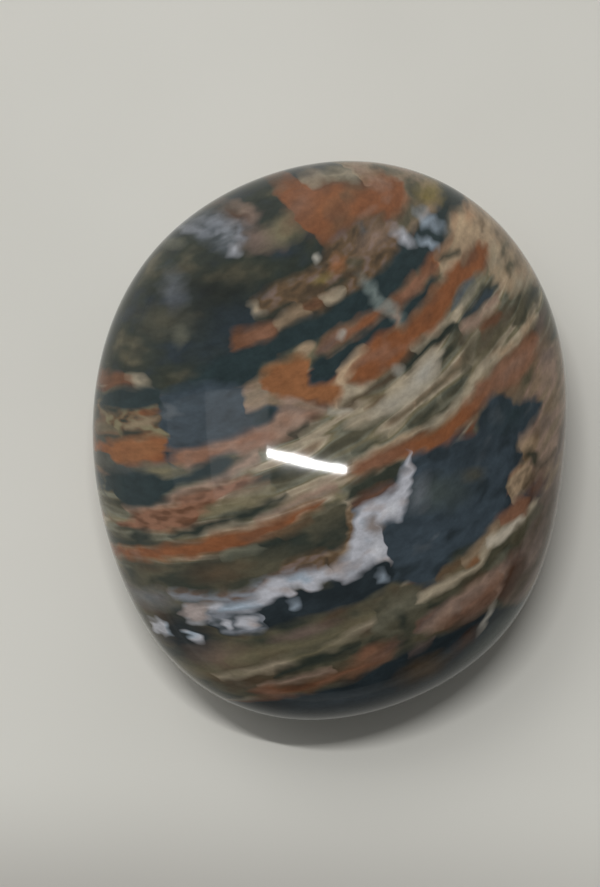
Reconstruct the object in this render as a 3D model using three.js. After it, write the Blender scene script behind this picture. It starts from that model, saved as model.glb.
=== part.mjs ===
// A palm stone: a pebble of banded ocean jasper, ground and polished all over to fit a closed hand.
// Seen from above it is a full oval, a little squarer at two of its shoulders. The crown is domed,
// the belly is shallower, and the belly ends in a small flat spot that the stone rests on.
// It is one solid piece of stone. Millimetres, +Z up, +Y along its length, +X to its right, with the
// origin at the middle of its footprint, on the surface that it stands on.

import * as THREE from "three";
import { mergeVertices } from "three/addons/utils/BufferGeometryUtils.js";

// The height of the whole stone, and of the girdle, where it is widest.
const THICKNESS = 25;
const GIRDLE_HEIGHT = 11.6;

// The belly would end this far below the surface if its flat spot weren't ground off.
const GROUND_OFF = 0.36;

// How full the sides are: 2 is an ellipse, and a larger number is a squarer pillow.
const CROWN_FULLNESS = 2.12;
const BELLY_FULLNESS = 2.2;

// The outline at the girdle is a circle with a few low lobes: how many lobes go round, how far
// they stand out, and the direction of the first one in degrees from +X.
const MEAN_RADIUS = 27.64;
const LOBES = [
  { count: 2, height: 2.65, towards: 84 },
  { count: 3, height: 0.31, towards: 38 },
  { count: 4, height: 0.3, towards: -30 },
  { count: 5, height: 0.13, towards: 28 },
  { count: 6, height: 0.12, towards: 13 },
];

// The top of the crown lies this far from the middle of the outline.
const CROWN_SHIFT = new THREE.Vector2(-0.8, 1.2);

// How finely the surface is cut into facets.
const FACETS_AROUND = 72;
const CROWN_RINGS = 18;
const BELLY_RINGS = 15;

const CROWN_HEIGHT = THICKNESS - GIRDLE_HEIGHT;
const BELLY_DEPTH = GIRDLE_HEIGHT + GROUND_OFF;

// How far the outline reaches in a direction.
function girdleRadius(angle) {
  return LOBES.reduce((radius, lobe) => {
    const towards = THREE.MathUtils.degToRad(lobe.towards);
    return radius + lobe.height * Math.cos(lobe.count * (angle - towards));
  }, MEAN_RADIUS);
}

// A point on a quarter of the side's curve: its reach as a share of the girdle, and its height as
// a share of the dome's. climb runs from 0 at the girdle to 1 at the pole.
function sidePoint(climb, fullness) {
  const turn = (climb * Math.PI) / 2;
  const power = 2 / fullness;
  return {
    reach: climb >= 1 ? 0 : Math.cos(turn) ** power,
    rise: Math.sin(turn) ** power,
  };
}

// The climb at which the belly reaches the surface that the stone stands on.
function climbOfFlat() {
  const rise = GIRDLE_HEIGHT / BELLY_DEPTH;
  return Math.asin(rise ** (BELLY_FULLNESS / 2)) / (Math.PI / 2);
}

// The side's curve from the middle of the flat spot, out round the girdle and up to the crown's
// top, as a profile with its reach in millimetres.
function sideProfile() {
  const points = [new THREE.Vector2(0, 0)];
  const flat = climbOfFlat();
  for (let ring = BELLY_RINGS; ring > 0; ring -= 1) {
    const { reach, rise } = sidePoint((flat * ring) / BELLY_RINGS, BELLY_FULLNESS);
    points.push(new THREE.Vector2(MEAN_RADIUS * reach, GIRDLE_HEIGHT - BELLY_DEPTH * rise));
  }
  for (let ring = 0; ring <= CROWN_RINGS; ring += 1) {
    const { reach, rise } = sidePoint(ring / CROWN_RINGS, CROWN_FULLNESS);
    points.push(new THREE.Vector2(MEAN_RADIUS * reach, GIRDLE_HEIGHT + CROWN_HEIGHT * rise));
  }
  return points;
}

// The pebble: the profile turned all the way round, then pressed out to the lobed outline, with
// the crown leant a little towards its top, and set with its footprint's middle at the origin.
function palmStoneGeometry() {
  const geometry = new THREE.LatheGeometry(sideProfile(), FACETS_AROUND);
  geometry.rotateX(Math.PI / 2);
  const position = geometry.getAttribute("position");
  const point = new THREE.Vector3();
  for (let i = 0; i < position.count; i += 1) {
    point.fromBufferAttribute(position, i);
    const stretch = girdleRadius(Math.atan2(point.y, point.x)) / MEAN_RADIUS;
    const above = Math.max(0, point.z - GIRDLE_HEIGHT) / CROWN_HEIGHT;
    const lean = above * above;
    position.setXYZ(
      i,
      point.x * stretch + CROWN_SHIFT.x * lean,
      point.y * stretch + CROWN_SHIFT.y * lean,
      point.z,
    );
  }
  geometry.deleteAttribute("normal");
  geometry.deleteAttribute("uv");
  const closed = mergeVertices(geometry, 1e-3);
  closed.computeBoundingBox();
  const middle = closed.boundingBox.getCenter(new THREE.Vector3());
  closed.translate(-middle.x, -middle.y, 0);
  closed.computeVertexNormals();
  return closed;
}

// Polished jasper: mostly slate, olive and rust, so a muted brown stands for it here.
function polishedJasper() {
  return new THREE.MeshStandardMaterial({ color: 0x6b5747, roughness: 0.12, metalness: 0 });
}

const stone = new THREE.Mesh(palmStoneGeometry(), polishedJasper());
stone.name = "palm_stone";

const palmStone = new THREE.Group();
palmStone.add(stone);

export default palmStone;
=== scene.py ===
import math

import bpy
from mathutils import Matrix, Vector


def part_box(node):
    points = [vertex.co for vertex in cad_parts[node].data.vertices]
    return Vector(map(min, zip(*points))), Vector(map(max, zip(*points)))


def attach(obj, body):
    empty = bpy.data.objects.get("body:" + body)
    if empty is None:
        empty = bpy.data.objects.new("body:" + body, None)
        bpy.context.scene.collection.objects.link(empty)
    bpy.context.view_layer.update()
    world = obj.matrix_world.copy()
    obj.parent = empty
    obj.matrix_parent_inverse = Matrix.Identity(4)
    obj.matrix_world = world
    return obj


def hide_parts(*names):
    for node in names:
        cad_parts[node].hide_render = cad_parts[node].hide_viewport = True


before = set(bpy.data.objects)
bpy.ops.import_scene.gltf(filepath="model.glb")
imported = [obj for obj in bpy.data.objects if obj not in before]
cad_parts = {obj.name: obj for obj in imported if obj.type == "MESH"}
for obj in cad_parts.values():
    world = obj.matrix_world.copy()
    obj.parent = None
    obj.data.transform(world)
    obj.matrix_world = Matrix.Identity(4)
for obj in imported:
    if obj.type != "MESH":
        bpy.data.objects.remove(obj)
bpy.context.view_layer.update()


# The camera: held over the table on the stone's near side and looking almost straight down, so
# that the dome of the crown fills the picture and a sliver of shadow shows under its near edge.
MM = 0.001
PICTURE_WIDTH, PICTURE_HEIGHT = 600, 887
PIXELS_PER_MM = 9.55
STONE_PIXEL = (329.9, 436.4)
CAMERA_ELEVATION = math.radians(76)
CAMERA_DISTANCE = 420 * MM
SENSOR = 36
HEART_HEIGHT = 12 * MM
CLIP_START = 10 * MM

right = Vector((1, 0, 0))
up = Vector((0, math.sin(CAMERA_ELEVATION), math.cos(CAMERA_ELEVATION)))
back = right.cross(up)
heart = Vector((0, 0, HEART_HEIGHT))
aim = heart + (
    right * (PICTURE_WIDTH / 2 - STONE_PIXEL[0]) + up * (STONE_PIXEL[1] - PICTURE_HEIGHT / 2)
) * (MM / PIXELS_PER_MM)

bpy.ops.object.camera_add()
camera = bpy.context.object
camera.name = "camera"
camera.matrix_world = Matrix.Translation(aim + back * CAMERA_DISTANCE) @ Matrix(
    (right, up, back)
).transposed().to_4x4()
camera.data.sensor_width = SENSOR
camera.data.lens = PIXELS_PER_MM * SENSOR * (CAMERA_DISTANCE / MM) / PICTURE_HEIGHT
camera.data.clip_start = CLIP_START
bpy.context.scene.camera = camera
bpy.context.scene.view_settings.view_transform = "Standard"


# The table top: a plain pale laminate, a little warm, with a faint cloudiness and one patch of
# painted shadow in front of the stone. Further towards its near side it darkens with painted shade.
# It is one flat sheet, and it isn't part of the stone.
TABLE_SIZE = 3.0
TABLE_PALE = (0.78, 0.765, 0.705, 1)
TABLE_DULL = (0.74, 0.725, 0.665, 1)
# Painted shade on the table: the colour and place of a soft oval of painted shadow in front of the stone.
TABLE_PAINTED_SHADOW = (0.42, 0.40, 0.365, 1)
PAINTED_SHADOW_CENTRE = (-0.040, -0.066, 0)
PAINTED_SHADOW_STRETCH = (0.22, 1, 1)
PAINTED_SHADOW_INNER, PAINTED_SHADOW_OUTER = 0.012, 0.034
# Painted shade: the table's colour darkens towards its near side, between these two distances.
TABLE_SHADED = (0.50, 0.485, 0.445, 1)
SHADED_FROM, SHADED_TO = -0.050, -0.200
CLOUDINESS_SCALE = 14
TABLE_ROUGHNESS = 0.55


class Wire:
    """A socket of a material. Sums written with it in Python add their own Math nodes."""

    def __init__(self, tree, socket=None):
        self.tree = tree
        self.socket = socket

    def node(self, kind, settings, *values, output=0, **named):
        """Adds a node: its settings first, then what goes into its sockets, in order or by name."""
        node = self.tree.nodes.new(kind)
        for setting, value in settings.items():
            if setting == "stops":
                ramp = node.color_ramp.elements
                while len(ramp) < len(value):
                    ramp.new(1)
                for element, (place, colour) in zip(ramp, value):
                    element.position = place
                    element.color = colour
            elif setting == "line":
                line = node.mapping.curves[0].points
                node.mapping.use_clip = False
                while len(line) < len(value):
                    line.new(0, 0)
                for point, place in zip(line, value):
                    point.location = place
                    point.handle_type = "AUTO_CLAMPED"
                node.mapping.extend = "HORIZONTAL"
                node.mapping.update()
            else:
                setattr(node, setting, value)
        shown = [socket for socket in node.inputs if socket.enabled]
        for socket, value in zip(shown, values):
            self.plug(socket, value)
        for name, value in named.items():
            self.plug(next(s for s in shown if s.name == name), value)
        return Wire(self.tree, [s for s in node.outputs if s.enabled][output])

    def plug(self, socket, value):
        """Feeds a socket from another wire, or sets the value that it stands at."""
        if isinstance(value, Wire):
            self.tree.links.new(value.socket, socket)
        elif socket.default_value != value:
            socket.default_value = value

    def math(self, operation, *others):
        return self.node("ShaderNodeMath", {"operation": operation}, self, *others)

    def __add__(self, other):
        return self.math("ADD", other)

    def __sub__(self, other):
        return self.math("SUBTRACT", other)

    def __rsub__(self, other):
        return self.node("ShaderNodeMath", {"operation": "SUBTRACT"}, other, self)

    def __mul__(self, other):
        return self.math("MULTIPLY", other)

    def ramp(self, low, high, low_value=0.0, high_value=1.0):
        """A smooth step from one value to another as this one goes from low to high."""
        smooth = {"interpolation_type": "SMOOTHSTEP"}
        return self.node("ShaderNodeMapRange", smooth, self, low, high, low_value, high_value)

    def blend(self, first, second):
        """Mixes two colours, with this value as the share of the second."""
        return self.node("ShaderNodeMix", {"data_type": "RGBA"}, self, first, second)


def new_material(name):
    """A material with a Principled shader, its shader node, and a Wire to build its nodes from."""
    material = bpy.data.materials.new(name)
    material.use_nodes = True
    return material, material.node_tree.nodes["Principled BSDF"], Wire(material.node_tree)


bpy.ops.object.select_all(action="DESELECT")
bpy.ops.mesh.primitive_plane_add(size=TABLE_SIZE)
table = bpy.context.object
table.name = "table_top"

laminate, shader, wire = new_material("pale_laminate")
place = wire.node("ShaderNodeTexCoord", {}, output=3)
cloudiness = wire.node("ShaderNodeTexNoise", {}, place, Scale=CLOUDINESS_SCALE, Detail=3)
clean = cloudiness.ramp(0.35, 0.65).blend(TABLE_PALE, TABLE_DULL)
# The oval of painted shadow: the table's colour darkens towards its centre.
from_painted_shadow = wire.node("ShaderNodeVectorMath", {"operation": "SUBTRACT"}, place, PAINTED_SHADOW_CENTRE)
from_painted_shadow = wire.node("ShaderNodeVectorMath", {"operation": "MULTIPLY"}, from_painted_shadow, PAINTED_SHADOW_STRETCH)
from_painted_shadow = wire.node("ShaderNodeVectorMath", {"operation": "LENGTH"}, from_painted_shadow)
with_painted_shadow = from_painted_shadow.ramp(PAINTED_SHADOW_OUTER, PAINTED_SHADOW_INNER).blend(clean, TABLE_PAINTED_SHADOW)
# Painted shade: the table's colour darkens towards its near side.
towards_back = wire.node("ShaderNodeSeparateXYZ", {}, place, output=1)
shaded = towards_back.ramp(SHADED_FROM, SHADED_TO).blend(with_painted_shadow, TABLE_SHADED)
wire.plug(shader.inputs["Base Color"], shaded)
shader.inputs["Roughness"].default_value = TABLE_ROUGHNESS
table.data.materials.append(laminate)


# The light: one ceiling tube almost straight overhead, whose reflection is the white bar on the
# crown, two dim pale panels to the left of it, which overlap and whose reflection is the veil
# beside the bar, a soft light high up behind the stone on the left, and a dimmer room all round.
TUBE_LENGTH = 0.40
TUBE_WIDTH = 0.0255
TUBE_DISTANCE = 1.2
TUBE_POWER = 5.0
TUBE_LEAN = 3.4
TUBE_ASIDE = -3.9
TUBE_TURN = -12
PANEL_WIDTH = 0.38
PANEL_LEAN = 7
WIDE_PANEL_LENGTH, WIDE_PANEL_POWER, WIDE_PANEL_ASIDE = 0.80, 0.46, -31
NARROW_PANEL_LENGTH, NARROW_PANEL_POWER, NARROW_PANEL_ASIDE = 0.42, 0.38, -22
SOFT_LIGHT_SIZE = 0.5
SOFT_LIGHT_POWER = 1.6
SOFT_LIGHT_LEAN = 24
SOFT_LIGHT_ASIDE = -20
ROOM_OVERHEAD = (0.17, 0.175, 0.18, 1)
ROOM_DIM = (0.035, 0.030, 0.022, 1)
ROOM_BRIGHT = (0.58, 0.58, 0.56, 1)
TOWARDS_WINDOW = (-0.65, 0.75, 0)


def hang_light(name, length, width, power, lean, aside, turn=0):
    """Hangs a rectangular light over the stone: lean and aside are degrees back and to the right."""
    bpy.ops.object.light_add(type="AREA")
    light = bpy.context.object
    light.name = name
    light.data.shape = "RECTANGLE"
    light.data.size, light.data.size_y = length, width
    light.data.energy = power
    light.matrix_world = (
        Matrix.Rotation(math.radians(-lean), 4, "X")
        @ Matrix.Rotation(math.radians(aside), 4, "Y")
        @ Matrix.Translation((0, 0, TUBE_DISTANCE))
        @ Matrix.Rotation(math.radians(turn), 4, "Z")
    )
    return light


hang_light("ceiling_tube", TUBE_LENGTH, TUBE_WIDTH, TUBE_POWER, TUBE_LEAN, TUBE_ASIDE, TUBE_TURN)
hang_light(
    "wide_panel", WIDE_PANEL_LENGTH, PANEL_WIDTH, WIDE_PANEL_POWER, PANEL_LEAN, WIDE_PANEL_ASIDE
)
hang_light(
    "narrow_panel", NARROW_PANEL_LENGTH, PANEL_WIDTH, NARROW_PANEL_POWER, PANEL_LEAN, NARROW_PANEL_ASIDE
)
soft_light = hang_light(
    "soft_light", SOFT_LIGHT_SIZE, SOFT_LIGHT_SIZE, SOFT_LIGHT_POWER, SOFT_LIGHT_LEAN, SOFT_LIGHT_ASIDE
)
soft_light.visible_glossy = False

room = bpy.data.worlds.new("pale_room")
bpy.context.scene.world = room
room.use_nodes = True
wire = Wire(room.node_tree)
direction = wire.node("ShaderNodeTexCoord", {}, output=0)
height = wire.node("ShaderNodeSeparateXYZ", {}, direction, output=2)
side = wire.node("ShaderNodeVectorMath", {"operation": "DOT_PRODUCT"}, direction, TOWARDS_WINDOW)
walls = side.ramp(-0.9, 0.9).blend(ROOM_DIM, ROOM_BRIGHT)
sky = height.ramp(0.3, 1.05).blend(walls, ROOM_OVERHEAD)
wire.plug(room.node_tree.nodes["Background"].inputs["Color"], sky)


# The palm stone: one pebble of ocean jasper, ground to a domed pillow and polished all over.
# Its beds of slate, rust, cream and olive run right through it, slanting and gently folded, and
# a seam of white druzy quartz crosses them.
CUBE_CUTS = 23
SMOOTHING_PASSES, LAST_PASSES = 12, 3

cad_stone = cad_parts["palm_stone"]
guide = bpy.data.objects.new("guide", cad_stone.data.copy())
bpy.context.collection.objects.link(guide)
bpy.ops.object.select_all(action="DESELECT")
bpy.context.view_layer.objects.active = guide
guide.select_set(True)
bpy.ops.object.mode_set(mode="EDIT")
bpy.ops.mesh.select_all(action="SELECT")
bpy.ops.mesh.remove_doubles(threshold=1e-6)
bpy.ops.mesh.tris_convert_to_quads()
bpy.ops.object.mode_set(mode="OBJECT")

bpy.ops.object.select_all(action="DESELECT")
bpy.ops.mesh.primitive_cube_add(size=2 * MM)
stone = bpy.context.object
stone.name = "jasper_stone"
bpy.ops.object.mode_set(mode="EDIT")
bpy.ops.mesh.subdivide(number_cuts=CUBE_CUTS)
bpy.ops.transform.tosphere(value=1)
bpy.ops.object.mode_set(mode="OBJECT")
stone_low, stone_high = (Vector(corner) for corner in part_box("palm_stone"))
half = (stone_high - stone_low) / 2
reach = max(vertex.co.length for vertex in stone.data.vertices)
stone.data.transform(
    Matrix.Translation((stone_low + stone_high) / 2)
    @ Matrix.Diagonal((half.x / reach, half.y / reach, half.z / reach, 1))
)


def finish_with(piece, kind, **settings):
    """Adds a modifier, sets it and applies it."""
    modifier = piece.modifiers.new(kind.lower(), kind)
    for setting, value in settings.items():
        setattr(modifier, setting, value)
    bpy.context.view_layer.objects.active = piece
    bpy.ops.object.modifier_apply(modifier=modifier.name)


finish_with(guide, "SUBSURF", levels=2, render_levels=2)
finish_with(stone, "SHRINKWRAP", target=guide)
finish_with(stone, "SMOOTH", factor=0.5, iterations=SMOOTHING_PASSES)
finish_with(stone, "SHRINKWRAP", target=guide)
finish_with(stone, "SMOOTH", factor=0.5, iterations=LAST_PASSES)
finish_with(stone, "SUBSURF", levels=2, render_levels=2)
bpy.data.objects.remove(guide)
bpy.ops.object.shade_smooth()

# How the beds lie in the stone: the compass line they follow seen from above, the radius of the
# fold that they sag along, and how far they shift along and across for each millimetre of height.
STRIKE = math.radians(30)
FOLD_RADIUS = 62
DIP = 0.5
RAKE = -0.15

# How far the beds wander at most: a little up at the crown, and more from this height down to the
# table. Then how far their edges are frayed.
WANDER_ALONG, WANDER_ACROSS = 1.6, 1.0
CALM_ABOVE = 12
DEEP_WANDER_ALONG, DEEP_WANDER_ACROSS = 26, 22
FRAY_ALONG, FRAY_ACROSS = 1.1, 0.7

# How much every border between two colours is blurred.
BLUR = 2.1


def paint(code):
    """A colour from its usual six-figure code."""
    parts = [int(code[i : i + 2], 16) / 255 for i in (0, 2, 4)]
    return (*[p / 12.92 if p <= 0.04045 else ((p + 0.055) / 1.055) ** 2.4 for p in parts], 1)


SLATE = paint("3d4850")
SLATE_DEEP = paint("2d363b")
SLATE_PALE = paint("555c61")
SLATE_GREEN = paint("4a5350")
INK = paint("232b2f")
COAL = paint("1f211c")
SEA_BLUE = paint("2a3739")
RUST = paint("845335")
RUST_PINK = paint("88624d")
RUST_BROWN = paint("6e4c38")
OCHRE = paint("8e5f3e")
SALMON = paint("9c8373")
TAN = paint("b59c80")
SAND = paint("cdb291")
DUN = paint("8b7862")
CREAM = paint("ada08a")
MILK = paint("aba79d")
LILAC = paint("bbbcc3")
FROST = paint("d2d3d8")
DRUZY_PINK = paint("a89c98")
ICE = paint("a3b0bd")
HAZE = paint("8a9692")
IVORY = paint("c9bfae")
MIST = paint("868a92")
MUSTARD = paint("7d7040")
OLIVE = paint("7a7259")
OLIVE_DEEP = paint("373b32")
MOSS_BLACK = paint("303630")
KHAKI = paint("575343")
SAGE = paint("787767")
MAUVE = paint("74635a")
UMBER = paint("68543f")
BARK = paint("524536")
MAROON = paint("4f392c")

jasper, shader, wire = new_material("polished_jasper")
place = wire.node("ShaderNodeTexCoord", {}, output=3)
in_mm = wire.node("ShaderNodeVectorMath", {"operation": "SCALE"}, place, Scale=1 / MM)
x, y, z = (wire.node("ShaderNodeSeparateXYZ", {}, in_mm, output=axis) for axis in range(3))
along = x * math.cos(STRIKE) + y * math.sin(STRIKE)
across = y * math.cos(STRIKE) - x * math.sin(STRIKE)
across = across - along * along * (1 / (2 * FOLD_RADIUS)) + z * DIP
along = along + z * RAKE


def noise(bedding, scale, detail, stretch=(1, 1, 1), colour=False, roughness=0.5):
    """Cloudy noise in the beds' own directions: scale is in waves per millimetre."""
    spot = wire.node(
        "ShaderNodeVectorMath",
        {"operation": "MULTIPLY"},
        bedding,
        tuple(scale * s for s in stretch),
    )
    return wire.node(
        "ShaderNodeTexNoise", {}, spot, output=1 if colour else 0,
        Scale=1, Detail=detail, Roughness=roughness,
    )


def shifts(noise_colour):
    """Two independent shifts, either way, from the parts of a noise's colour."""
    return [wire.node("ShaderNodeSeparateColor", {}, noise_colour, output=i) - 0.5 for i in (0, 1)]


# The beds wander a little on a scale of millimetres, and much further deep in the stone. Their
# edges are frayed on a finer scale.
bedding = wire.node("ShaderNodeCombineXYZ", {}, along, across, z)
wander_u, wander_v = shifts(noise(bedding, 0.22, 1.5, (0.6, 1.2, 1), colour=True))
depth = z.ramp(CALM_ABOVE, 0)
along = along + wander_u * (depth * DEEP_WANDER_ALONG + WANDER_ALONG)
across = across + wander_v * (depth * DEEP_WANDER_ACROSS + WANDER_ACROSS)
bedding = wire.node("ShaderNodeCombineXYZ", {}, along, across, z)
fray_u, fray_v = shifts(noise(bedding, 0.8, 0, (0.8, 1.5, 1), colour=True))
cloud = noise(bedding, 0.28, 2, (0.7, 1.2, 1))
mottle = noise(bedding, 0.8, 1, (0.8, 1.3, 1))
lamina = noise(bedding, 1.0, 1.5, (0.1, 0.58, 0.1))
country = noise(bedding, 0.14, 2, (0.2, 1, 0.4))
grit = noise(bedding, 2.4, 2, (1, 1.3, 1), roughness=0.6)
along = along + fray_u * FRAY_ALONG
across = across + fray_v * FRAY_ACROSS
grain = mottle - 0.5


def tints(share, *stops):
    """A colour that changes with a value, through the colours given."""
    return wire.node("ShaderNodeValToRGB", {"stops": stops}, share)


def lay(ground, colour, upper, lower, soft=0.5, fray=0.0, cover=1.0):
    """Lays a bed over the ground, between two edges drawn in millimetres along and across.

    The bed ends where both edges share their first or last point, and else it runs on."""
    upper, lower = list(upper), list(lower)
    overlap = soft * BLUR / 2 + fray / 2
    for end in (0, -1):
        if upper[end] == lower[end]:
            u, v = upper[end]
            upper[end], lower[end] = (u, v - overlap), (u, v + overlap)
    top = wire.node("ShaderNodeFloatCurve", {"line": upper}, Value=along)
    bottom = wire.node("ShaderNodeFloatCurve", {"line": lower}, Value=along)
    distance = (across - top).math("MAXIMUM", bottom - across)
    return fill(ground, colour, distance, 0, soft, fray, cover)


def fill(ground, colour, distance, edge, soft, fray, cover):
    """Colours the ground inside the distance given by edge, with a blurred border round it."""
    if fray:
        distance = grain.math("MULTIPLY_ADD", fray, distance)
    border = soft * BLUR
    share = distance.math("MULTIPLY_ADD", -cover / border, cover * (edge / border + 0.5))
    if cover < 1:
        share = share.math("MINIMUM", cover)
    return share.blend(ground, colour)


def streak(ground, colour, line, soft=0.5, fray=0.0, cover=1.0):
    """Lays a thin bed along a line of points, each with the streak's half width there."""
    first, last = line[0], line[-1]
    line = [(first[0] - 0.4, first[1], 0), *line, (last[0] + 0.4, last[1], 0)]
    upper = [(u, v + width) for u, v, width in line]
    lower = [(u, v - width) for u, v, width in line]
    return lay(ground, colour, upper, lower, soft, fray, cover)


turned_places = {}


def spot(ground, colour, at, size, turn=0, soft=0.6, fray=0.0, cover=1.0):
    """Lays an oval spot, its half length and half width in millimetres, turned by some degrees."""
    cosine, sine = math.cos(math.radians(turn)), math.sin(math.radians(turn))
    if turn not in turned_places:
        lengthwise = along * cosine + across * sine
        widthwise = across * cosine - along * sine
        place = wire.node("ShaderNodeCombineXYZ", {}, lengthwise, widthwise, 0)
        turned_places[turn] = place
    length, width = size
    far = (at[0] * cosine + at[1] * sine, at[1] * cosine - at[0] * sine)
    place = wire.node(
        "ShaderNodeVectorMath", {"operation": "MULTIPLY_ADD"}, turned_places[turn],
        (1 / length, 1 / width, 0), (-far[0] / length, -far[1] / width, 0),
    )
    distance = wire.node("ShaderNodeVectorMath", {"operation": "LENGTH"}, place)
    return fill(ground, colour, distance, 1, soft, fray, cover)


# The colours of the stone, each with its own unevenness.
laminated = tints(
    lamina,
    (0.30, OLIVE_DEEP), (0.42, KHAKI), (0.49, SAGE), (0.55, OLIVE), (0.61, CREAM), (0.70, DUN),
)
slate = tints(cloud, (0.36, SLATE_DEEP), (0.48, SLATE), (0.60, SLATE), (0.72, SLATE_PALE))
dark_field = tints(cloud, (0.35, SLATE_DEEP), (0.5, MOSS_BLACK), (0.58, OLIVE_DEEP), (0.72, KHAKI))
rust = tints(cloud, (0.30, RUST_BROWN), (0.44, RUST), (0.56, RUST), (0.68, RUST_PINK))
tan = tints(cloud, (0.36, DUN), (0.54, TAN), (0.76, CREAM))
tan_beds = tints(lamina, (0.30, UMBER), (0.45, DUN), (0.55, SALMON), (0.68, DUN))
rim_tan = tints(cloud, (0.34, KHAKI), (0.46, DUN), (0.70, SALMON))
mud = tints(mottle, (0.32, BARK), (0.52, UMBER), (0.68, MAUVE))
druzy = tints(cloud, (0.38, DRUZY_PINK), (0.48, LILAC), (0.58, LILAC), (0.66, ICE))
quartz = tints(mottle, (0.36, SLATE_PALE), (0.66, MIST))
ground = tints(
    country,
    (0.36, SLATE), (0.41, SLATE_DEEP), (0.43, CREAM), (0.45, RUST), (0.475, RUST),
    (0.49, OLIVE), (0.53, KHAKI), (0.56, DUN), (0.58, RUST_PINK), (0.60, SLATE_DEEP), (0.66, SLATE),
)

# The laminated beds across the middle, and the broad fields that the other markings lie in.
ground = lay(
    ground, laminated,
    [(-34, 8), (-22, 11), (-10, 12.2), (0, 12.6), (10, 12.8), (20, 13), (34, 22)],
    [(-34, -4), (-20, 0), (-10, 2.5), (0, 3.5), (8, 2), (14, 0), (20, -8), (34, -20)],
)
ground = lay(
    ground, rim_tan,
    [(2, 34), (5, 40), (34, 40)],
    [(2, 34), (6, 26), (12, 22), (17, 20), (34, 12)], soft=0.6,
)
ground = lay(
    ground, dark_field,
    [(-34, 42), (8, 42), (14, 24)],
    [(-34, 22), (-21.5, 22.2), (-18, 19.5), (-12, 19), (-9, 20), (8, 20), (14, 24)], soft=0.5,
)
ground = lay(
    ground, tan_beds,
    [(11, -5), (12.5, 0.5), (14, 1.2), (16, 0.6), (20, 0.5), (24, -1.5), (34, -6)],
    [(11, -5), (12.5, -8.5), (15, -10), (18, -13), (22, -18), (34, -30)], soft=0.5,
)
ground = lay(
    ground, tan,
    [(13.6, 15.9), (15, 17.3), (17.5, 17.3), (18.3, 17.9), (20.8, 17.8), (24, 16.5), (34, 12)],
    [(13.6, 15.9), (15, 14.6), (18, 13.5), (21, 11.8), (26, 8.5), (34, 2)], soft=0.9, cover=0.85,
)
ground = lay(
    ground, tints(cloud, (0.36, OLIVE_DEEP), (0.5, KHAKI), (0.66, BARK)),
    [(-34, -3), (-24, 1), (-10, -6), (-4, -9), (3, -11), (8, -11), (14, -10)],
    [(-34, -18), (-24, -17), (-10, -17), (0, -18), (8, -19), (11, -15), (14, -10)], soft=0.5,
)
ground = lay(
    ground, tints(cloud, (0.32, BARK), (0.52, MAUVE), (0.72, DUN)),
    [(3, -17), (5, -14.8), (8, -13), (14, -10), (18, -8), (34, -4)],
    [(3, -17), (6, -19), (12, -21), (34, -40)], soft=0.6,
)
ground = lay(
    ground, tints(cloud, (0.4, INK), (0.6, SLATE_DEEP)),
    [(-34, -19), (-24, -17.2), (-18, -17), (-12, -16.3), (-8, -15.6), (-2, -16), (2, -16.8), (4, -18),
     (8, -21)],
    [(-34, -60), (4, -60), (8, -21)], soft=0.5,
)

# The dark field at the far left of the crown, with the quartz orb at its rim.
ground = spot(ground, SLATE_DEEP, (-8.5, 24), (4.5, 3), cover=0.8, soft=0.8)
ground = spot(ground, COAL, (-7.6, 28), (3.5, 2), cover=0.7, soft=0.8)
ground = spot(ground, KHAKI, (-13, 27), (1.4, 1.3), cover=0.6, soft=0.9)
ground = spot(ground, MIST, (-10.3, 29.7), (1.7, 0.7), turn=55, cover=0.36, soft=0.9)
ground = spot(ground, SAGE, (-12.8, 25), (0.9, 0.4), turn=50, cover=0.5, soft=0.9)
ground = spot(ground, MAUVE, (0, 32), (1.7, 2.8), turn=15, soft=0.5, fray=0.8, cover=0.9)
ground = spot(ground, SALMON, (0.9, 33.6), (0.6, 1.1), turn=20, cover=0.4, fray=0.8)
ground = spot(ground, MAROON, (-0.1, 33.8), (0.4, 0.8), turn=30, cover=0.8)
ground = spot(ground, quartz, (-2.8, 32.9), (2.1, 1.8), soft=0.4, fray=0.6, cover=0.7)
ground = spot(ground, MIST, (-2.6, 34.2), (1.3, 0.3), turn=-20, soft=0.8, fray=0.8, cover=0.7)
ground = spot(ground, MIST, (-1.7, 31.9), (0.3, 1.0), turn=-30, soft=0.8, fray=0.8, cover=0.7)
ground = spot(ground, LILAC, (-3.2, 30.9), (0.6, 0.5), turn=30, soft=0.8, cover=0.6)
ground = spot(ground, MIST, (-4.8, 34.1), (0.7, 0.5), turn=-40, fray=1.0, cover=0.8)
ground = spot(ground, SAGE, (-7, 33.6), (0.7, 0.5), fray=1.0, cover=0.4)
ground = spot(ground, MOSS_BLACK, (1.9, 31.8), (2.1, 0.6), fray=0.5)
ground = spot(ground, OLIVE, (2.3, 30.1), (2.1, 1.1), fray=0.8, cover=0.9)
ground = spot(ground, MAUVE, (-0.8, 30.6), (1.3, 0.9), cover=0.7, soft=0.8)

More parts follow.
